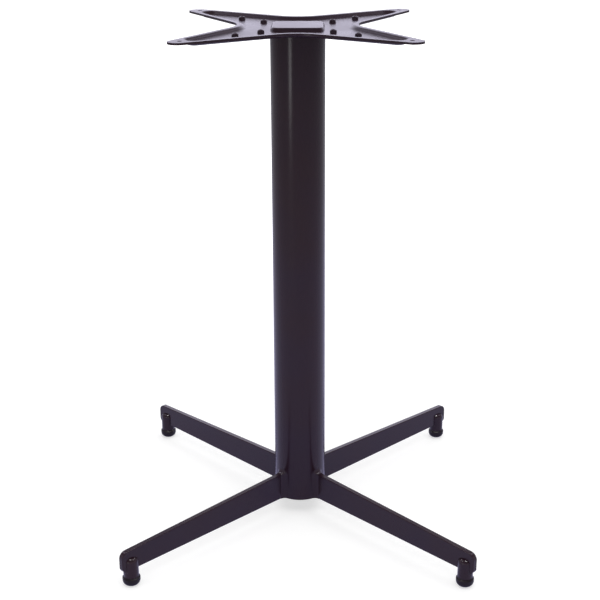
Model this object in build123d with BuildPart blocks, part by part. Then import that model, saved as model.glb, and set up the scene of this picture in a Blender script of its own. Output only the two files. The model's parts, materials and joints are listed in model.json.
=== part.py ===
"""Four-legged dining table base.

A round steel tube stands on four tapered flat-bar legs, set on the diagonals. Each leg ends in a
round bush that takes a levelling foot. A pressed steel bracket in the shape of a cross is welded
to the top of the tube and carries the table top. Lengths are millimetres, +Z is up and the origin
is on the floor, under the axis of the tube.
"""
import os
from math import cos, radians, sin, tan

from build123d import *

# Overall height, from the floor to the face that the table top lies on
base_height = 735.0

# Column tube
column_diameter = 76.0
column_wall = 2.5
ground_clearance = 24.0

# Legs: flat bar on edge, higher at the column than at the foot
leg_thickness = 8.0
leg_root_height = 41.5
leg_end_height = 30.5
leg_overhang = 16.5
leg_end_top_round = 10.0
leg_end_bottom_round = 7.0
leg_edge_bevel = 0.8
leg_weld_size = 7.0

# Feet: a bush let into the bar, and a glide on a stud that screws into the bush
foot_circle_radius = 327.0
bush_diameter = 21.5
bush_length = 29.0
bush_top_round = 7.0
bush_cap = 5.0
stud_diameter = 8.0
stud_clearance = 0.05
stud_end_gap = 3.0
glide_diameter = 25.0
glide_height = 14.0
glide_floor = 5.0
glide_bottom_round = 8.0
glide_chamfer = 2.5

# Top bracket: one pressed sheet, a tray inside a flat flange
sheet = 3.0
tip_reach = 223.0
tip_radius = 14.0
arm_taper = 13.8
notch_round = 50.0
flange = 7.5
tip_tab = 28.0
recess_depth = 4.5
tray_slope = 45.0
tray_foot_round = 6.0
press_round = 3.0

# Raised middle of the bracket, above the column
island_width = 68.5
island_corner = 8.0
island_slope = 60.0

# Screw holes of the bracket
tip_hole_inset = 16.5
tip_hole_diameter = 6.5
inner_collar_radius = 68.0
outer_collar_radius = 113.5
collar_base_diameter = 9.5
collar_top_diameter = 8.5
collar_bevel = 1.2
collar_hole_diameter = 4.5

# Weld between tube and bracket
plate_weld_size = 5.0

# Sizes that follow from the ones above
column_radius = column_diameter / 2
leg_reach = foot_circle_radius + leg_overhang
leg_start = column_radius - column_wall
bore_depth = bush_length - bush_cap
bore_diameter = stud_diameter + 2 * stud_clearance
stud_length = glide_height - glide_floor + bore_depth - stud_end_gap
recess_floor = base_height - recess_depth
rim_underside = base_height - sheet
tray_bottom = recess_floor - sheet
column_length = tray_bottom - ground_clearance

taper = radians(arm_taper)
arm_point = tip_reach + tip_radius * (1 / sin(taper) - 1)
recess_reach = tip_reach - tip_tab
tip_hole_radius = tip_reach - tip_hole_inset

arms = 4
arm_pitch = 360 / arms
arm_angle = arm_pitch / 2
corners = ("back_right", "back_left", "front_left", "front_right")
flat_tolerance = 0.01

os.makedirs("parts", exist_ok=True)


def write(part, name):
    """Label a finished piece and write it to its own file."""
    part.label = name
    export_step(part, f"parts/{name}.step")


def wall_offsets(slope):
    """How far inside its upper edge a pressed wall meets the floor, and then its underside, at top and bottom."""
    angle = radians(slope)
    foot = recess_depth / tan(angle)
    under_top = sheet / tan(angle) - sheet / sin(angle)
    return foot, under_top, foot + under_top


def bracket_outline(inset, reach):
    """Outline of the bracket, or one parallel to it: a pointed star with its corners rounded."""
    point = arm_point - inset / sin(taper)
    notch = point * sin(taper) / sin(radians(arm_angle) + taper)
    tip_round = (point - reach) / (1 / sin(taper) - 1)
    star_points = []
    for arm in range(arms):
        star_points.append((notch, radians(arm * arm_pitch)))
        star_points.append((point, radians(arm * arm_pitch + arm_angle)))
    with BuildSketch() as outline:
        Polygon(*[(r * cos(a), r * sin(a)) for r, a in star_points], align=None)
        fillet(outline.vertices().sort_by(SortBy.DISTANCE)[:arms], notch_round + inset)
        fillet(outline.vertices().sort_by(SortBy.DISTANCE)[-arms:], tip_round)
    return outline.sketch


def tray_outline(inset):
    """Outline of the tray, or one parallel to it, at a distance inside its upper edge."""
    return bracket_outline(flange + inset, recess_reach - inset)


def island_outline(grow):
    """Outline of the raised middle of the bracket, grown by a distance."""
    side = island_width + 2 * grow
    with BuildSketch() as outline:
        RectangleRounded(side, side, island_corner + grow)
    return outline.sketch


def level_faces(part, height):
    """Flat faces of a part at one height, the largest first."""
    level = part.faces().filter_by(Plane.XY)
    level = level.filter_by_position(Axis.Z, height - flat_tolerance, height + flat_tolerance)
    return level.sort_by(SortBy.AREA, reverse=True)


def leg_plane(angle):
    """Upright plane through the column axis, with X pointing out along a leg."""
    out = (cos(radians(angle)), sin(radians(angle)), 0)
    across = (sin(radians(angle)), -cos(radians(angle)), 0)
    return Plane(origin=(0, 0, 0), x_dir=out, z_dir=across)


def leg_top(radius):
    """Height of a leg's sloping upper edge at a distance from the column axis."""
    fall = (leg_root_height - leg_end_height) / (leg_reach - leg_start)
    return ground_clearance + leg_root_height - fall * (radius - leg_start)


def leg_blank(angle, bottom, end):
    """Plain bar along a leg, from inside the column to a distance from its axis."""
    with BuildPart() as bar:
        with BuildSketch(leg_plane(angle)):
            with BuildLine():
                Polyline(
                    (leg_start, bottom),
                    (end, bottom),
                    (end, leg_top(end)),
                    (leg_start, leg_top(leg_start)),
                    close=True,
                )
            make_face()
        extrude(amount=leg_thickness / 2, both=True)
    return bar.part


def foot_plane(angle, height):
    """Level plane on the axis of a foot."""
    x = foot_circle_radius * cos(radians(angle))
    y = foot_circle_radius * sin(radians(angle))
    return Plane(origin=(x, y, height))


def bush_blank(angle):
    """Round bar of a foot bush, domed at the top."""
    with BuildPart() as bar:
        with BuildSketch(foot_plane(angle, glide_height)):
            Circle(bush_diameter / 2)
        extrude(amount=bush_length)
        fillet(bar.edges().sort_by(Axis.Z)[-1], bush_top_round)
    return bar.part


# Column: a round tube from the level of the legs up to the bracket
with BuildPart() as column:
    with BuildSketch(Plane.XY.offset(ground_clearance)):
        Circle(column_radius)
        Circle(column_radius - column_wall, mode=Mode.SUBTRACT)
    extrude(amount=column_length)
write(column.part, "column")

for place, corner in enumerate(corners):
    angle = arm_angle + place * arm_pitch
    across = Axis(origin=(0, 0, 0), direction=leg_plane(angle).z_dir)
    outward = Axis(origin=(0, 0, 0), direction=leg_plane(angle).x_dir)

    # Leg: rounded at its outer end, cut to fit round the column and round the bush
    with BuildPart() as leg:
        add(leg_blank(angle, ground_clearance, leg_reach))
        end_edges = leg.edges().filter_by(across).sort_by(outward)[-2:].sort_by(Axis.Z)
        fillet(end_edges[0], leg_end_bottom_round)
        end_edges = leg.edges().filter_by(across).sort_by(SortBy.DISTANCE)
        fillet(end_edges[-1], leg_end_top_round)
        chamfer(leg.faces().filter_by(across).edges(), leg_edge_bevel)
        with BuildSketch(Plane.XY.offset(ground_clearance)):
            Circle(column_radius)
        extrude(amount=leg_root_height, mode=Mode.SUBTRACT)
        add(bush_blank(angle), mode=Mode.SUBTRACT)
    write(leg.part, f"leg_{corner}")

    # Weld: the concave blend between post and bar, made past its ends, with both of them taken away
    weld_low = ground_clearance - leg_weld_size
    weld_end = column_radius + 3 * leg_weld_size
    with BuildPart() as leg_root:
        add(leg_blank(angle, weld_low, weld_end))
        upper_edges = leg_root.faces().sort_by(Axis.Z)[-1].edges().filter_by(across, reverse=True)
        fillet(upper_edges, leg_edge_bevel)
    with BuildPart() as weld:
        with BuildSketch(Plane.XY.offset(weld_low)):
            Circle(column_radius)
        extrude(amount=column_length)
        post = weld.part
        add(leg_root.part)
        mantle = weld.faces().filter_by(GeomType.CYLINDER).sort_by(SortBy.AREA)[-1]
        seam = mantle.edges().filter_by(GeomType.CIRCLE, reverse=True)
        seam = seam.filter_by_position(outward, column_radius * cos(radians(arm_angle / 2)), weld_end)
        fillet(seam, leg_weld_size)
        add(post, mode=Mode.SUBTRACT)
        add(leg_root.part, mode=Mode.SUBTRACT)
        split(bisect_by=Plane.XY.offset(ground_clearance), keep=Keep.TOP)
    write(weld.part, f"leg_weld_{corner}")

    # Bush: a short round bar with a blind bore, let into the leg from below
    with BuildPart() as bush:
        add(bush_blank(angle))
        with BuildSketch(foot_plane(angle, glide_height)):
            Circle(bore_diameter / 2)
        extrude(amount=bore_depth, mode=Mode.SUBTRACT)
    write(bush.part, f"foot_bush_{corner}")

    # Levelling stud: fixed in the glide, runs in the bush
    with BuildPart() as stud:
        with BuildSketch(foot_plane(angle, glide_floor)):
            Circle(stud_diameter / 2)
        extrude(amount=stud_length)
    write(stud.part, f"levelling_stud_{corner}")

    # Glide: the moulded foot, well rounded below
    with BuildPart() as glide:
        with BuildSketch(foot_plane(angle, 0)):
            Circle(glide_diameter / 2)
        extrude(amount=glide_height)
        fillet(glide.edges().sort_by(Axis.Z)[0], glide_bottom_round)
        chamfer(glide.edges().sort_by(Axis.Z)[-1], glide_chamfer)
        with BuildSketch(foot_plane(angle, glide_floor)):
            Circle(stud_diameter / 2)
        extrude(amount=glide_height - glide_floor, mode=Mode.SUBTRACT)
    write(glide.part, f"glide_{corner}")

# Top bracket: blank, tray pressed down, middle left high, then bends, collars and holes
tray_foot, tray_under_top, tray_under_bottom = wall_offsets(tray_slope)
island_foot, island_under_top, island_under_bottom = wall_offsets(island_slope)
with BuildPart() as plate:
    with BuildSketch(Plane.XY.offset(rim_underside)):
        add(bracket_outline(0, tip_reach))
    extrude(amount=sheet)

    # Underside and inside of the tray
    with BuildSketch(Plane.XY.offset(rim_underside)):
        add(tray_outline(tray_under_top))
    with BuildSketch(Plane.XY.offset(tray_bottom)):
        add(tray_outline(tray_under_bottom))
    loft(ruled=True)
    with BuildSketch(Plane.XY.offset(base_height)):
        add(tray_outline(0))
    with BuildSketch(Plane.XY.offset(recess_floor)):
        add(tray_outline(tray_foot))
    loft(ruled=True, mode=Mode.SUBTRACT)

    # Top and hollow underside of the middle
    with BuildSketch(Plane.XY.offset(recess_floor)):
        add(island_outline(island_foot))
    with BuildSketch(Plane.XY.offset(base_height)):
        add(island_outline(0))
    loft(ruled=True)
    with BuildSketch(Plane.XY.offset(tray_bottom)):
        add(island_outline(island_under_bottom))
    with BuildSketch(Plane.XY.offset(rim_underside)):
        add(island_outline(island_under_top))
    loft(ruled=True, mode=Mode.SUBTRACT)

    # Press radii: the inside of each bend, and the outside one sheet larger. The corners under the flange and at
    # the foot of the middle stay sharp
    fillet(level_faces(plate, recess_floor)[0].outer_wire().edges(), tray_foot_round)
    fillet(level_faces(plate, tray_bottom)[0].outer_wire().edges(), tray_foot_round + sheet)
    fillet(level_faces(plate, base_height)[0].inner_wires().edges(), press_round + sheet)
    fillet(level_faces(plate, base_height)[1].edges(), sheet)

    # Collars drawn up to the level of the flange, bevelled, each round a screw hole
    collar_circles = (inner_collar_radius, outer_collar_radius)
    for radius in collar_circles:
        with Locations((0, 0, recess_floor)):
            with PolarLocations(radius, arms, start_angle=arm_angle):
                Cone(
                    collar_base_diameter / 2,
                    collar_top_diameter / 2,
                    recess_depth,
                    align=(Align.CENTER, Align.CENTER, Align.MIN),
                )
    chamfer(level_faces(plate, base_height)[2:].edges(), collar_bevel)
    for radius in collar_circles:
        with Locations((0, 0, base_height)):
            with PolarLocations(radius, arms, start_angle=arm_angle):
                Hole(collar_hole_diameter / 2, depth=recess_depth + sheet)

    # One more screw hole in each tip
    with Locations((0, 0, base_height)):
        with PolarLocations(tip_hole_radius, arms, start_angle=arm_angle):
            Hole(tip_hole_diameter / 2, depth=sheet)
write(plate.part, "top_plate")

# Weld ring: a bead with a flat face round the column, under the bracket
with BuildPart() as plate_weld:
    with BuildSketch(Plane.XZ):
        with BuildLine():
            corner_point = (column_radius, tray_bottom)
            upper_toe = (column_radius + plate_weld_size, tray_bottom)
            lower_toe = (column_radius, tray_bottom - plate_weld_size)
            Polyline(corner_point, upper_toe, lower_toe, close=True)
        make_face()
    revolve(axis=Axis.Z)
write(plate_weld.part, "plate_weld")
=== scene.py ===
# %% [markdown]
# # A dining table base in black powder coat
#
# This lesson dresses a finished CAD model in Blender. The base is a steel tube on four flat-bar legs, with
# a pressed cross bracket on top and a levelling foot under the end of each leg. The solids already have
# their real shape and size, so the work here is finish: the satin coat, the welds under it, the screw
# threads, and the light.
#
# Everything is in metres, in the frame of the CAD model: +Z is up, and the origin is on the floor, under
# the tube.

# %% Load the model as a fixed frame
import json
from math import cos, pi, radians, sin

import bpy
from mathutils import Euler, Matrix, Vector


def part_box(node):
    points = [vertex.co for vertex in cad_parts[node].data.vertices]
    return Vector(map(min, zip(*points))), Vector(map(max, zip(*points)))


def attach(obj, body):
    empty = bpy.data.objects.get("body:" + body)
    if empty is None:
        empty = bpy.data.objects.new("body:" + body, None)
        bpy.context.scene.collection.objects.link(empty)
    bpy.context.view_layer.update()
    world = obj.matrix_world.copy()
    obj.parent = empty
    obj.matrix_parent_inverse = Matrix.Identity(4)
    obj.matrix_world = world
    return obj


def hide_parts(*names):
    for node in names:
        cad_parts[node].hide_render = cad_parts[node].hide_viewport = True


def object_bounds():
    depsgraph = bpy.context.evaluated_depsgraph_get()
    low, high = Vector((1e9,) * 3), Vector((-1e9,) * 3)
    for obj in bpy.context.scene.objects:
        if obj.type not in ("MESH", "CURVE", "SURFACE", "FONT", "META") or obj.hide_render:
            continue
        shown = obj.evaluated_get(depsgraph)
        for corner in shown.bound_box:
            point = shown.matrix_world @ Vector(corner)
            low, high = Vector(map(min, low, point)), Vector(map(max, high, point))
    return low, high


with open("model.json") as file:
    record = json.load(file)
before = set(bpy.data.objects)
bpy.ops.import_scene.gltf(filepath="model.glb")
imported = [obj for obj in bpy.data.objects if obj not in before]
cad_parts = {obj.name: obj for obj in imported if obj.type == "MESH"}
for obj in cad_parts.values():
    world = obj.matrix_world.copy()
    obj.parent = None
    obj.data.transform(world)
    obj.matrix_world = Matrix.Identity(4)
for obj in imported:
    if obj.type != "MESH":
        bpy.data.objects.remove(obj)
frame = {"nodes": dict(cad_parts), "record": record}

MM = 0.001
nodes = frame["nodes"]
cad_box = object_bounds()
print("nodes:", len(nodes), "box:", [[round(x, 4) for x in corner] for corner in cad_box])

# %% [markdown]
# ## Sizes read from the frame
#
# The sizes that the new pieces need could be typed in again, but then they would go wrong as soon as the
# CAD model changed. So they are read from the boxes of the nodes: the tube gives its radius and the level
# of the legs, a glide gives the place of its foot, and the CAD welds give the height of their seams.

# %% Sizes that the new pieces follow
column_low, column_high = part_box("column")
column_radius = column_high.x
corners = ["back_right", "back_left", "front_left", "front_right"]


def foot_centre(corner):
    """Centre of a levelling foot on the floor."""
    low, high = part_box(f"glide_{corner}")
    return Vector(((low.x + high.x) / 2, (low.y + high.y) / 2, low.z))


foot_radius = foot_centre("back_right").length
leg_weld_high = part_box("leg_weld_back_right")[1]
ring_low, ring_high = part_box("plate_weld")
print("column radius", round(column_radius, 4), "feet on a circle of radius", round(foot_radius, 4))

# %% [markdown]
# ## Small helpers for node trees
#
# Materials and Geometry Nodes are both trees of nodes, joined by links. Writing out every link by hand
# hides the idea behind it, so one helper adds a node and fills its inputs, with a number or with another
# node's output, and a second one does the same for a single sum. A third empties the tree that a new
# material or world comes with.

# %% Helpers for node trees
def feed(tree, socket, value):
    """Link an output to a socket, or write a plain value on it."""
    if isinstance(value, bpy.types.NodeSocket):
        tree.links.new(value, socket)
    else:
        socket.default_value = value


def add(tree, kind, inputs=None, **options):
    """Add a node with its options set and its inputs filled."""
    node = tree.nodes.new(kind)
    for name, value in options.items():
        setattr(node, name, value)
    for name, value in (inputs or {}).items():
        feed(tree, node.inputs[name], value)
    return node


def calc(tree, operation, *numbers):
    """One sum in a tree, and its result."""
    return add(tree, "ShaderNodeMath", dict(enumerate(numbers)), operation=operation).outputs[0]


def clear_tree(owner):
    """The node tree of a material or a world, emptied."""
    owner.use_nodes = True
    owner.node_tree.nodes.clear()
    return owner.node_tree


print("tree helpers ready")

# %% [markdown]
# ## Noise on the surface
#
# A picture of a surface could be wrapped round the parts, but noise on Object coordinates needs no picture
# and has the right scale on every part. All finishes here are built this way: a pattern with large features
# tints a surface, and one with small features raises its skin.

# %% Helpers for finishes
def new_material(name):
    """An empty node material with a shader, an output and Object coordinates."""
    material = bpy.data.materials.new(name)
    tree = clear_tree(material)
    shader = add(tree, "ShaderNodeBsdfPrincipled")
    add(tree, "ShaderNodeOutputMaterial", {"Surface": shader.outputs["BSDF"]})
    place = add(tree, "ShaderNodeTexCoord").outputs["Object"]
    return material, tree, shader, place


def noise(tree, place, feature, detail=2.0):
    """Noise with features of about a given size, in metres."""
    inputs = {"Vector": place, "Scale": 1 / feature, "Detail": detail}
    return add(tree, "ShaderNodeTexNoise", inputs).outputs["Fac"]


def between(tree, share, low, high):
    """Stretch the middle of a noise to a range of values."""
    inputs = {"Value": share, "From Min": 0.3, "From Max": 0.7, "To Min": low, "To Max": high}
    return add(tree, "ShaderNodeMapRange", inputs).outputs["Result"]


def blend_colours(tree, share, first, second):
    """Mix two colours by a noise."""
    mix = add(tree, "ShaderNodeMix", data_type="RGBA")
    feed(tree, mix.inputs["Factor"], between(tree, share, 0.0, 1.0))
    feed(tree, mix.inputs["A"], first)
    feed(tree, mix.inputs["B"], second)
    return mix.outputs["Result"]


def skin(tree, height, strength, depth, under=None):
    """Low hills that follow a noise, laid over other hills if those are given."""
    inputs = {"Height": height, "Strength": strength, "Distance": depth}
    if under is not None:
        inputs["Normal"] = under
    return add(tree, "ShaderNodeBump", inputs).outputs["Normal"]


print("finish helpers ready")

# %% [markdown]
# ## The powder coat
#
# The steel is coated with black powder that is melted on in an oven. Seen close up it is not flat: the melt
# leaves a skin of low, round waves a millimetre or two across, which makers call orange peel, and the gloss
# changes a little from place to place. The colour is a black with a cast of violet, browner in some places
# than in others.
#
# The index of refraction is low for a resin. A face seen square on then stays black, and a face seen at a
# low angle, such as the top of the bracket, still mirrors the bright room. The bracket has a duller coat
# than the tube and the legs.

# %% Powder coat
violet_black = (0.0185, 0.0068, 0.0160, 1.0)
brown_black = (0.0215, 0.0072, 0.0105, 1.0)
coat_index = 1.37
drift_size = 90 * MM
peel_size = 1.6 * MM
grain_size = 0.35 * MM
grain_gloss = 0.02


def powder_coat(name, smooth, dull):
    """Satin black coat with a cast of violet and fine orange peel, between two roughnesses."""
    material, tree, shader, place = new_material(name)
    drift = noise(tree, place, drift_size, detail=3.0)
    peel = noise(tree, place, peel_size)
    grain = noise(tree, place, grain_size)
    feed(tree, shader.inputs["Base Color"], blend_colours(tree, drift, violet_black, brown_black))
    gloss = between(tree, drift, low=smooth, high=dull)
    specks = between(tree, grain, low=-grain_gloss, high=grain_gloss)
    feed(tree, shader.inputs["Roughness"], calc(tree, "ADD", gloss, specks))
    shader.inputs["IOR"].default_value = coat_index
    waves = skin(tree, peel, strength=0.10, depth=0.3 * MM)
    feed(tree, shader.inputs["Normal"], skin(tree, grain, strength=0.05, depth=0.1 * MM, under=waves))
    return material


coat = powder_coat("black_powder_coat", smooth=0.17, dull=0.23)
bracket_coat = powder_coat("bracket_powder_coat", smooth=0.26, dull=0.32)
print("made", coat.name, "and", bracket_coat.name, "with", len(coat.node_tree.nodes), "nodes each")

# %% [markdown]
# ## Nylon and zinc
#
# The glides are moulded from black nylon. It is darker and duller than the coat, and its skin has the fine
# spark texture of the mould. The studs are steel with a thin coat of zinc: a metal, with patches of
# crystals that differ in tone and gloss. Both are built as the coat is, from patterns at the scale of the
# real surface.

# %% Nylon and zinc
deep_black = (0.0075, 0.0035, 0.0050, 1.0)
faded_black = (0.0105, 0.0052, 0.0068, 1.0)
nylon_index = 1.33
dark_zinc = (0.50, 0.50, 0.53, 1.0)
pale_zinc = (0.66, 0.65, 0.64, 1.0)
crystal_size = 1.2 * MM


def moulded_nylon():
    """Dull black plastic with the fine texture of its mould."""
    material, tree, shader, place = new_material("black_nylon")
    drift = noise(tree, place, feature=12 * MM, detail=3.0)
    spark = noise(tree, place, feature=0.4 * MM, detail=4.0)
    feed(tree, shader.inputs["Base Color"], blend_colours(tree, drift, deep_black, faded_black))
    feed(tree, shader.inputs["Roughness"], between(tree, spark, low=0.36, high=0.50))
    shader.inputs["IOR"].default_value = nylon_index
    feed(tree, shader.inputs["Normal"], skin(tree, spark, strength=0.18, depth=0.1 * MM))
    return material


def plated_zinc():
    """Zinc-plated steel with a pattern of pale and dark crystals."""
    material, tree, shader, place = new_material("zinc_steel")
    cells = add(tree, "ShaderNodeTexVoronoi", {"Vector": place, "Scale": 1 / crystal_size})
    crystal = cells.outputs["Distance"]
    drift = noise(tree, place, feature=4 * MM, detail=3.0)
    feed(tree, shader.inputs["Base Color"], blend_colours(tree, drift, dark_zinc, pale_zinc))
    feed(tree, shader.inputs["Roughness"], between(tree, crystal, low=0.28, high=0.42))
    shader.inputs["Metallic"].default_value = 1.0
    feed(tree, shader.inputs["Normal"], skin(tree, crystal, strength=0.08, depth=0.05 * MM))
    return material


nylon = moulded_nylon()
zinc = plated_zinc()
finishes = {"black_powder_coat": coat, "black_nylon": nylon, "zinc_steel": zinc}
for subpart in frame["record"]["subparts"]:
    nodes[subpart["node"]].material_slots[0].material = finishes[subpart["material_slot"]]
nodes["top_plate"].material_slots[0].material = bracket_coat
print("finished", len(nodes), "nodes in", sorted(finishes))

# %% [markdown]
# ## From Geometry Nodes to a plain mesh
#
# Welds and threads repeat, or follow a path, so Geometry Nodes make them: a tree with named sizes is easier
# to change than a mesh built point by point. The finished piece has to be a plain mesh, though, because
# instances are lost when the model is exported. So each tree ends by realizing its instances and setting a
# material, and a helper takes the evaluated result, puts it on a new object at the origin and deletes the
# object that carried the modifier.

# %% Helpers for Geometry Nodes
sharp_angle = radians(35)


def new_tree(name, sizes):
    """An empty geometry tree with one named input for each size."""
    tree = bpy.data.node_groups.new(name, "GeometryNodeTree")
    tree.interface.new_socket("Geometry", in_out="INPUT", socket_type="NodeSocketGeometry")
    tree.interface.new_socket("Geometry", in_out="OUTPUT", socket_type="NodeSocketGeometry")
    for size in sizes:
        tree.interface.new_socket(size, in_out="INPUT", socket_type="NodeSocketFloat")
    return tree, tree.nodes.new("NodeGroupInput").outputs


def close_tree(tree, geometry, material):
    """Realize what the tree made, shade it smooth up to its sharp edges, paint it and put it out."""
    real = add(tree, "GeometryNodeRealizeInstances", {"Geometry": geometry}).outputs[0]
    bend = add(tree, "GeometryNodeInputMeshEdgeAngle").outputs["Unsigned Angle"]
    is_sharp = calc(tree, "GREATER_THAN", bend, sharp_angle)
    smooth = add(tree, "GeometryNodeSetShadeSmooth", {"Geometry": real}).outputs[0]
    crisp = {"Geometry": smooth, "Selection": is_sharp, "Shade Smooth": False}
    edged = add(tree, "GeometryNodeSetShadeSmooth", crisp, domain="EDGE").outputs[0]
    painted = add(tree, "GeometryNodeSetMaterial", {"Geometry": edged, "Material": material}).outputs[0]
    add(tree, "NodeGroupOutput", {"Geometry": painted})


def shift(tree, mesh, offset):
    """Move each point of a mesh by its own offset."""
    return add(tree, "GeometryNodeSetPosition", {"Geometry": mesh, "Offset": offset}).outputs[0]


def grow(carrier, tree, sizes, name):
    """Run a tree on a carrier object and keep the result as a plain mesh at the origin."""
    bpy.context.scene.collection.objects.link(carrier)
    modifier = carrier.modifiers.new("grow", "NODES")
    modifier.node_group = tree
    for socket in tree.interface.items_tree:
        if socket.in_out == "INPUT" and socket.name in sizes:
            modifier[socket.identifier] = float(sizes[socket.name])
    bpy.context.view_layer.update()
    evaluated = carrier.evaluated_get(bpy.context.evaluated_depsgraph_get())
    mesh = bpy.data.meshes.new_from_object(evaluated)
    bpy.data.objects.remove(carrier)
    piece = bpy.data.objects.new(name, mesh)
    bpy.context.scene.collection.objects.link(piece)
    print(name, "has", len(mesh.vertices), "points and", len(mesh.polygons), "faces")
    return piece


print("geometry helpers ready")

# %% [markdown]
# ## Weld beads
#
# Each leg is welded to the tube up both sides and over the top, and a ring of weld holds the bracket. A
# weld is laid down drop by drop, so under the coat its surface has a fine ripple, bowed towards the end
# where the welder finished.
#
# The beads could be sculpted, but the rule is simple: a hollow three-cornered section follows the seam, and
# its face rises and falls along the way. The tree takes a path and a section as the two splines of one
# curve. It sweeps the section along the path, lifts the face by a wave of the length run so far, and
# repeats the bead round the tube.

# %% Path and section of a bead
def path_carrier(name, path, section, closed_path):
    """A curve object with two splines: first the path, then the closed section that is swept along it."""
    curve = bpy.data.curves.new(name, "CURVE")
    curve.dimensions = "3D"
    for points, closed in ((path, closed_path), (section, True)):
        spline = curve.splines.new("POLY")
        spline.points.add(len(points) - 1)
        for point, place in zip(spline.points, points):
            point.co = (*place, 1.0)
        spline.use_cyclic_u = closed
    return bpy.data.objects.new(name, curve)


def hollow_section(size, sink, steps=8):
    """Closed outline of a fillet weld: a hollow face between two toes, and a corner sunk into the seam."""
    outline = [(-sink, -sink, 0.0)]
    for step in range(steps + 1):
        angle = radians(270 - 90 * step / steps)
        outline.append((size + size * cos(angle) - sink, size + size * sin(angle) - sink, 0.0))
    return outline


print("a weld section has", len(hollow_section(1.0, 0.0)), "points")

# %% Weld bead tree
bead_inputs = ["Step", "Ripple pitch", "Ripple depth", "Bow", "Copies", "First angle", "Tube radius"]


def note(tree, curve, name, measure):
    """Keep a measure of each point of a curve, so that the swept mesh still knows it."""
    keep = add(tree, "GeometryNodeCaptureAttribute", {"Geometry": curve}, domain="POINT")
    keep.capture_items.new("FLOAT", name)
    feed(tree, keep.inputs[name], add(tree, "GeometryNodeSplineParameter").outputs[measure])
    return keep.outputs["Geometry"], keep.outputs[name]


def sweep_section(tree, sizes, outward):
    """Sweep the section along the path. Each point knows its run along the path and its place across it."""
    order = add(tree, "GeometryNodeInputIndex").outputs[0]
    is_path = add(tree, "FunctionNodeCompare", {"A": order, "B": 0}, data_type="INT", operation="EQUAL")
    parts = {"Geometry": sizes["Geometry"], "Selection": is_path.outputs[0]}
    split = add(tree, "GeometryNodeSeparateGeometry", parts, domain="CURVE")
    even = {"Curve": split.outputs["Selection"], "Length": sizes["Step"]}
    path = add(tree, "GeometryNodeResampleCurve", even, mode="LENGTH").outputs[0]
    turned = {"Curve": path, "Normal": outward(tree)}
    path = add(tree, "GeometryNodeSetCurveNormal", turned, mode="FREE").outputs[0]
    path, run = note(tree, path, "run", "Length")
    section, side = note(tree, split.outputs["Inverted"], "side", "Factor")
    sweep = {"Curve": path, "Profile Curve": section, "Fill Caps": True}
    return add(tree, "GeometryNodeCurveToMesh", sweep).outputs["Mesh"], run, side


def ripple(tree, sizes, bead, run, side):
    """Lift the bead by a wave along the path that is bowed across it."""
    across = calc(tree, "SUBTRACT", side, 0.5)
    bow = calc(tree, "MULTIPLY", calc(tree, "MULTIPLY", across, across), sizes["Bow"])
    phase = calc(tree, "DIVIDE", calc(tree, "ADD", run, bow), sizes["Ripple pitch"])
    wave = calc(tree, "SINE", calc(tree, "MULTIPLY", phase, 2 * pi))
    lift = calc(tree, "MULTIPLY", wave, sizes["Ripple depth"])
    normal = add(tree, "GeometryNodeInputNormal").outputs[0]
    raised = add(tree, "ShaderNodeVectorMath", {0: normal, "Scale": lift}, operation="SCALE")
    return shift(tree, bead, raised.outputs["Vector"])


def wrap_on_tube(tree, sizes, bead):
    """Move each point of a bead back from the flat of its seam onto the round of the tube."""
    radius = sizes["Tube radius"]
    place = add(tree, "GeometryNodeInputPosition").outputs[0]
    y = add(tree, "ShaderNodeSeparateXYZ", {"Vector": place}).outputs["Y"]
    square = calc(tree, "SUBTRACT", calc(tree, "POWER", radius, 2.0), calc(tree, "POWER", y, 2.0))
    back = calc(tree, "SUBTRACT", calc(tree, "SQRT", square), radius)
    return shift(tree, bead, add(tree, "ShaderNodeCombineXYZ", {"X": back}).outputs[0])


def repeat_round(tree, sizes, bead):
    """Copies of a bead at even angles round the tube."""
    stations = add(tree, "GeometryNodePoints", {"Count": sizes["Copies"]}).outputs[0]
    order = add(tree, "GeometryNodeInputIndex").outputs[0]
    turn = calc(tree, "DIVIDE", calc(tree, "MULTIPLY", order, 2 * pi), sizes["Copies"])
    turn = calc(tree, "ADD", turn, sizes["First angle"])
    turned = add(tree, "ShaderNodeCombineXYZ", {"Z": turn}).outputs[0]
    copies = {"Points": stations, "Instance": bead, "Rotation": turned}
    return add(tree, "GeometryNodeInstanceOnPoints", copies).outputs[0]


def bead_tree(name, outward, wrap):
    """Tree that makes rippled beads. Wrapping bends a bead back onto the round tube."""
    tree, sizes = new_tree(name, bead_inputs)
    bead, run, side = sweep_section(tree, sizes, outward)
    bead = ripple(tree, sizes, bead, run, side)
    if wrap:
        bead = wrap_on_tube(tree, sizes, bead)
    close_tree(tree, repeat_round(tree, sizes, bead), coat)
    return tree


print("a weld bead has the inputs", bead_inputs)

# %% Welds between the legs and the tube
leg_thickness = 8 * MM
leg_weld_size = 7 * MM
weld_sink = 0.02 * MM
edge_round = 0.8 * MM
leg_bottom = column_low.z
leg_top = leg_weld_high.z - leg_weld_size


def seam_over_leg(corner_steps=6):
    """Path of the weld up one side of a leg, over the top and down the other, for a leg along +X."""
    half = leg_thickness / 2
    path = [(column_radius, half, leg_bottom + weld_sink)]
    for side, start in ((1, 0), (-1, 90)):
        for step in range(corner_steps + 1):
            angle = radians(start + 90 * step / corner_steps)
            y = side * (half - edge_round) + edge_round * cos(angle)
            path.append((column_radius, y, leg_top - edge_round + edge_round * sin(angle)))
    path.append((column_radius, -half, leg_bottom + weld_sink))
    return path


def along_leg(tree):
    """The bead on a leg faces out along the leg."""
    return (1.0, 0.0, 0.0)


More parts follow.
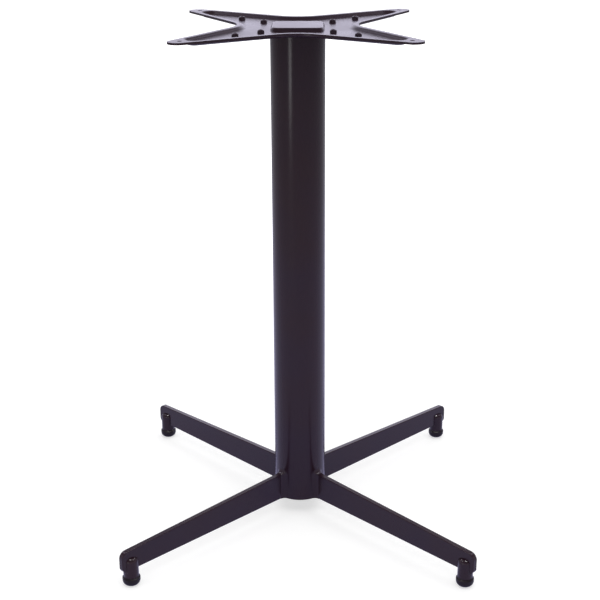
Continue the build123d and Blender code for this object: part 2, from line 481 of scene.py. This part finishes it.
leg_bead_sizes = {
    "Step": 0.4 * MM,
    "Ripple pitch": 2.2 * MM,
    "Ripple depth": 0.04 * MM,
    "Bow": 6 * MM,
    "Copies": len(corners),
    "First angle": pi / 4,
    "Tube radius": column_radius,
}
leg_beads = grow(
    path_carrier("leg_weld_path", seam_over_leg(), hollow_section(leg_weld_size, weld_sink), False),
    bead_tree("leg weld bead", along_leg, wrap=True),
    leg_bead_sizes,
    "leg_weld_beads",
)
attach(leg_beads, "frame")
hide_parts(*[f"leg_weld_{corner}" for corner in corners])

# %% Weld ring under the bracket
ring_size = ring_high.z - ring_low.z


def ring_path(steps=120):
    """Circle where the tube meets the bracket."""
    turns = [2 * pi * step / steps for step in range(steps)]
    return [(column_radius * cos(turn), column_radius * sin(turn), ring_high.z) for turn in turns]


def from_axis(tree):
    """The ring of weld faces away from the axis of the tube."""
    place = add(tree, "GeometryNodeInputPosition").outputs[0]
    level = add(tree, "ShaderNodeVectorMath", {0: place, 1: (1.0, 1.0, 0.0)}, operation="MULTIPLY")
    away = add(tree, "ShaderNodeVectorMath", {0: level.outputs["Vector"]}, operation="NORMALIZE")
    return away.outputs["Vector"]


ring_bead_sizes = {
    "Step": 0.5 * MM,
    "Ripple pitch": 2.4 * MM,
    "Ripple depth": 0.04 * MM,
    "Bow": 5 * MM,
    "Copies": 1,
    "First angle": 0.0,
    "Tube radius": column_radius,
}
ring_bead = grow(
    path_carrier("ring_weld_path", ring_path(), hollow_section(ring_size, weld_sink), True),
    bead_tree("ring weld bead", from_axis, wrap=False),
    ring_bead_sizes,
    "bracket_weld_ring",
)
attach(ring_bead, "frame")
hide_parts("plate_weld")

# %% [markdown]
# ## Threads of the levelling studs
#
# Each glide is fixed to a steel stud that screws into the bush, so that the base can be levelled. When a
# foot is screwed out, the thread shows. A thread is a helix, and there are two ways to make one: sweep a
# small triangle along a spiral, which leaves the ends and the core to be patched, or bend one grid into a
# cylinder whose radius follows the turn. The second gives one closed skin with no seams to hide, so that is
# the rule used here.

# %% Thread tree
thread_inputs = ["Length", "Radius", "Pitch", "Depth", "Chamfer", "X", "Y", "Z"]
grid_around = 48
grid_along = 361
root_flat_share = 0.06
flank_share = 0.38
end_reach = 0.001 * MM
join_reach = 0.002 * MM


def thread_radius(tree, sizes, angle, height):
    """Radius of the thread at an angle and a height: root, flank and crest climb in a helix."""
    rise = calc(tree, "DIVIDE", height, sizes["Pitch"])
    turns = calc(tree, "SUBTRACT", rise, calc(tree, "DIVIDE", angle, 2 * pi))
    tooth = calc(tree, "PINGPONG", turns, 0.5)
    crest = calc(tree, "MULTIPLY", calc(tree, "SUBTRACT", tooth, root_flat_share), 1 / flank_share)
    crest = add(tree, "ShaderNodeClamp", {"Value": crest}).outputs[0]
    groove = calc(tree, "MULTIPLY", calc(tree, "SUBTRACT", 1.0, crest), sizes["Depth"])
    return calc(tree, "SUBTRACT", sizes["Radius"], groove)


def close_ends(tree, sizes, radius, height):
    """Chamfer both ends, and draw the last row of points in to the axis, so that the skin is closed."""
    end = calc(tree, "MINIMUM", height, calc(tree, "SUBTRACT", sizes["Length"], height))
    core = calc(tree, "SUBTRACT", sizes["Radius"], sizes["Chamfer"])
    radius = calc(tree, "MINIMUM", radius, calc(tree, "ADD", core, end))
    on_end = calc(tree, "LESS_THAN", end, end_reach)
    return calc(tree, "MULTIPLY", radius, calc(tree, "SUBTRACT", 1.0, on_end))


def thread_tree():
    """Tree that rolls a grid into a threaded stud standing on its place."""
    tree, sizes = new_tree("stud thread", thread_inputs)
    grid = {
        "Size X": 2 * pi,
        "Size Y": sizes["Length"],
        "Vertices X": grid_around + 1,
        "Vertices Y": grid_along,
    }
    sheet = add(tree, "GeometryNodeMeshGrid", grid).outputs["Mesh"]
    place = add(tree, "GeometryNodeInputPosition").outputs[0]
    flat = add(tree, "ShaderNodeSeparateXYZ", {"Vector": place}).outputs
    angle = flat["X"]
    height = calc(tree, "ADD", flat["Y"], calc(tree, "DIVIDE", sizes["Length"], 2.0))
    radius = close_ends(tree, sizes, thread_radius(tree, sizes, angle, height), height)
    x = calc(tree, "ADD", sizes["X"], calc(tree, "MULTIPLY", radius, calc(tree, "COSINE", angle)))
    y = calc(tree, "ADD", sizes["Y"], calc(tree, "MULTIPLY", radius, calc(tree, "SINE", angle)))
    z = calc(tree, "ADD", sizes["Z"], height)
    rolled = add(tree, "ShaderNodeCombineXYZ", {"X": x, "Y": y, "Z": z}).outputs[0]
    stud = add(tree, "GeometryNodeSetPosition", {"Geometry": sheet, "Position": rolled}).outputs[0]
    joined = {"Geometry": stud, "Distance": join_reach}
    close_tree(tree, add(tree, "GeometryNodeMergeByDistance", joined).outputs[0], zinc)
    return tree


threads = thread_tree()
print("a stud has the inputs", thread_inputs)

# %% Threaded studs
thread_pitch = 1.25 * MM
thread_depth = 0.65 * MM
stud_chamfer = 1.0 * MM

for corner in corners:
    stud_low, stud_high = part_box(f"levelling_stud_{corner}")
    centre = foot_centre(corner)
    stud_sizes = {
        "Length": stud_high.z - stud_low.z,
        "Radius": (stud_high.x - stud_low.x) / 2,
        "Pitch": thread_pitch,
        "Depth": thread_depth,
        "Chamfer": stud_chamfer,
        "X": centre.x,
        "Y": centre.y,
        "Z": stud_low.z,
    }
    carrier = bpy.data.objects.new(f"stud_carrier_{corner}", bpy.data.meshes.new("stud_carrier"))
    stud = grow(carrier, threads, stud_sizes, f"threaded_stud_{corner}")
    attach(stud, f"levelling_foot_{corner}")
    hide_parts(f"levelling_stud_{corner}")

# %% [markdown]
# ## Floor
#
# The floor has to be white for the camera and still keep a shadow. A white emitter would lose it, so the
# floor is a pale diffuse surface with some glow added. The glow that the camera sees grows with the
# distance from the base: near the base a faint shadow is left, and further out the floor runs into the
# white of the room.
#
# Black coat shows little of its own colour. What the eye sees is mostly what its gloss mirrors, and upright
# faces seen from above mirror the floor. So the floor has a second glow, for the gloss alone. It is violet
# and strongest near the base, which gives the legs and the lower part of the tube their cast. Some 5 m out
# the floor turns dark, because the rims of the bracket mirror that part, and they are dark.

# %% Floor
white = (1.0, 1.0, 1.0, 1.0)
violet_white = (0.38, 0.36, 1.0, 1.0)
floor_reach = 14.0
floor_sides = 64


def ramp(tree, value, near, far, at_near, at_far):
    """A smooth change from one value to another over a range."""
    inputs = {"Value": value, "From Min": near, "From Max": far, "To Min": at_near, "To Max": at_far}
    return add(tree, "ShaderNodeMapRange", inputs, interpolation_type="SMOOTHSTEP").outputs["Result"]


def ray_kinds(tree):
    """Rays that come straight from the camera, and rays that come off a gloss."""
    rays = add(tree, "ShaderNodeLightPath").outputs
    straight = calc(tree, "MAXIMUM", rays["Is Camera Ray"], rays["Is Transmission Ray"])
    return straight, rays["Is Glossy Ray"]


def floor_finish():
    """Pale floor that keeps a soft shadow."""
    material = bpy.data.materials.new("pale_floor")
    tree = clear_tree(material)
    straight, glossy = ray_kinds(tree)
    place = add(tree, "ShaderNodeTexCoord").outputs["Object"]
    away = add(tree, "ShaderNodeVectorMath", {0: place}, operation="LENGTH").outputs["Value"]
    rising = ramp(tree, away, near=0.4, far=1.6, at_near=0.58, at_far=1.20)
    falling = ramp(tree, away, near=0.5, far=2.5, at_near=0.52, at_far=0.10)
    grey = ramp(tree, away, near=4.4, far=5.4, at_near=0.55, at_far=0.12)
    seen = calc(tree, "MULTIPLY", straight, rising)
    mirrored = calc(tree, "MULTIPLY", glossy, falling)
    pale = add(tree, "ShaderNodeBsdfDiffuse", {"Color": grey}).outputs[0]
    plain_glow = add(tree, "ShaderNodeEmission", {"Color": white, "Strength": seen}).outputs[0]
    gloss_glow = add(tree, "ShaderNodeEmission", {"Color": violet_white, "Strength": mirrored}).outputs[0]
    glow = add(tree, "ShaderNodeAddShader", {0: plain_glow, 1: gloss_glow}).outputs[0]
    both = add(tree, "ShaderNodeAddShader", {0: pale, 1: glow}).outputs[0]
    add(tree, "ShaderNodeOutputMaterial", {"Surface": both})
    return material


floor_turns = [2 * pi * side / floor_sides for side in range(floor_sides)]
floor_rim = [(floor_reach * cos(turn), floor_reach * sin(turn), 0.0) for turn in floor_turns]
floor_mesh = bpy.data.meshes.new("floor")
floor_mesh.from_pydata(floor_rim, [], [list(range(floor_sides))])
floor = bpy.data.objects.new("floor", floor_mesh)
floor.data.materials.append(floor_finish())
bpy.context.scene.collection.objects.link(floor)
print("floor of radius", floor_reach, "m")

# %% [markdown]
# ## Room
#
# Faces that look up mirror the room. Its walls are a pale lavender, for the bright flat faces of the
# bracket. Its ceiling is darker. The tops of the legs mirror the band between the two, so they shine less
# than the bracket does. The camera sees plain white instead, and diffuse light comes evenly from all sides.

# %% Room
lavender_white = (0.84, 0.82, 1.0, 1.0)
wall_top = sin(radians(25))
ceiling_start = sin(radians(34))
wall_brightness = 1.0
ceiling_brightness = 0.35
ambient = 0.55


def bright_room():
    """White for the camera, pale walls under a darker ceiling in the gloss, and even light for the rest."""
    world = bpy.data.worlds.new("bright_room")
    tree = clear_tree(world)
    straight, glossy = ray_kinds(tree)
    direction = add(tree, "ShaderNodeTexCoord").outputs["Generated"]
    height = add(tree, "ShaderNodeSeparateXYZ", {"Vector": direction}).outputs["Z"]
    walls = ramp(tree, height, wall_top, ceiling_start, wall_brightness, ceiling_brightness)
    seen = add(tree, "ShaderNodeBackground", {"Color": white, "Strength": 1.0}).outputs[0]
    gloss = add(tree, "ShaderNodeBackground", {"Color": lavender_white, "Strength": walls}).outputs[0]
    even = add(tree, "ShaderNodeBackground", {"Color": white, "Strength": ambient}).outputs[0]
    unseen = add(tree, "ShaderNodeMixShader", {0: glossy, 1: even, 2: gloss}).outputs[0]
    room = add(tree, "ShaderNodeMixShader", {0: straight, 1: unseen, 2: seen}).outputs[0]
    add(tree, "ShaderNodeOutputWorld", {"Surface": room})
    return world


bpy.context.scene.world = bright_room()
print("world:", bpy.context.scene.world.name)

# %% [markdown]
# ## Lamps
#
# A lamp shows in black coat as a bright shape, so each lamp here has one job:
#
# - broad_sky lights everything from above. It is left out of the gloss, so that the steep faces of the
#   bracket stay black.
# - back_wall is a low, bright wall behind the base, which the flat faces of the bracket mirror.
# - left_strip draws the streak down the tube.
# - window_left and window_right hang high behind the base. They lighten the sloping walls in the front arms
#   of the bracket.
# - One small lamp over each foot puts a glint on the round top of its bush. It hangs lower than the bracket
#   and is turned outwards, so that neither the bracket nor the tube mirrors it.
#
# The windows and the small lamps show in the gloss alone, and light nothing else.

# %% Helpers for lamps
def place_lamp(name, light, place, aim):
    """Hang a lamp in the room, out of the camera's sight, turned to a point."""
    lamp = bpy.data.objects.new(name, light)
    lamp.location = place
    lamp.rotation_euler = (Vector(aim) - Vector(place)).to_track_quat("-Z", "Y").to_euler()
    lamp.visible_camera = False
    bpy.context.scene.collection.objects.link(lamp)
    return lamp


def soft_box(name, place, aim, width, height, brightness, colour=(1.0, 1.0, 1.0)):
    """A rectangular lamp whose face has a given brightness."""
    light = bpy.data.lights.new(name, "AREA")
    light.shape = "RECTANGLE"
    light.size = width
    light.size_y = height
    light.energy = brightness * pi * width * height
    light.color = colour
    return place_lamp(name, light, place, aim)


print("lamp helpers ready")

# %% Sky, back wall and strip
bracket_middle = (0.0, 0.0, cad_box[1][2])
lavender_light = (0.86, 0.82, 1.0)

sky = bpy.data.lights.new("broad_sky", "SUN")
sky.energy = 1.3
sky.angle = radians(70)
sky_lamp = place_lamp("broad_sky", sky, place=(0.4, -0.3, 3.0), aim=(0.0, 0.0, 0.0))
sky_lamp.visible_glossy = False
soft_box(
    "back_wall",
    place=(0.0, 3.0, 1.25),
    aim=bracket_middle,
    width=4.0,
    height=1.1,
    brightness=1.17,
    colour=lavender_light,
)
soft_box(
    "left_strip",
    place=(-0.78, -1.29, 0.44),
    aim=(0.0, 0.0, 0.5),
    width=0.27,
    height=0.26,
    brightness=4.0,
)

# %% Windows and glints
glint_height = 0.70
glint_ahead = 0.08
glint_size = 0.10
front_glint = 60.0
back_glint = 130.0

for hand, side in (("left", -1), ("right", 1)):
    window = soft_box(
        f"window_{hand}",
        place=(side * 1.35, 0.85, 1.95),
        aim=bracket_middle,
        width=1.0,
        height=1.0,
        brightness=1.9,
        colour=lavender_light,
    )
    window.visible_diffuse = False
for corner in corners:
    foot = foot_centre(corner)
    outside = 2 * foot
    glint = soft_box(
        f"glint_{corner}",
        place=(foot.x, foot.y - glint_ahead, glint_height),
        aim=outside,
        width=glint_size,
        height=glint_size,
        brightness=front_glint if foot.y < 0.0 else back_glint,
    )
    glint.visible_diffuse = False

# %% [markdown]
# ## Camera
#
# The camera stands about a quarter of a metre above the bracket and looks down by about 20 degrees, with
# the whole base in a square frame. Its distance, height and lens come from fitting a camera to the tube,
# the feet and the bracket at their real size. The base is turned by less than a degree in that view, so the
# camera walks round it by as much.

# %% Camera
camera_distance = 1.7442
camera_height = 0.9785
camera_pitch = radians(20.24)
camera_walk = radians(0.9)
camera_aside = 0.0013
camera_roll = -0.0051
lens_mm = 75.91
sensor_mm = 36.0

lens = bpy.data.cameras.new("camera")
lens.lens = lens_mm
lens.sensor_width = sensor_mm
camera = bpy.data.objects.new("camera", lens)
stand = Vector((camera_aside, -camera_distance, camera_height))
camera.location = Matrix.Rotation(camera_walk, 3, "Z") @ stand
look = Euler((pi / 2 - camera_pitch, 0.0, camera_walk)).to_matrix()
camera.rotation_euler = (look @ Matrix.Rotation(camera_roll, 3, "Z")).to_euler()
bpy.context.scene.collection.objects.link(camera)
bpy.context.scene.camera = camera
bpy.context.scene.view_settings.view_transform = "Standard"
print("camera at", [round(x, 3) for x in camera.location])
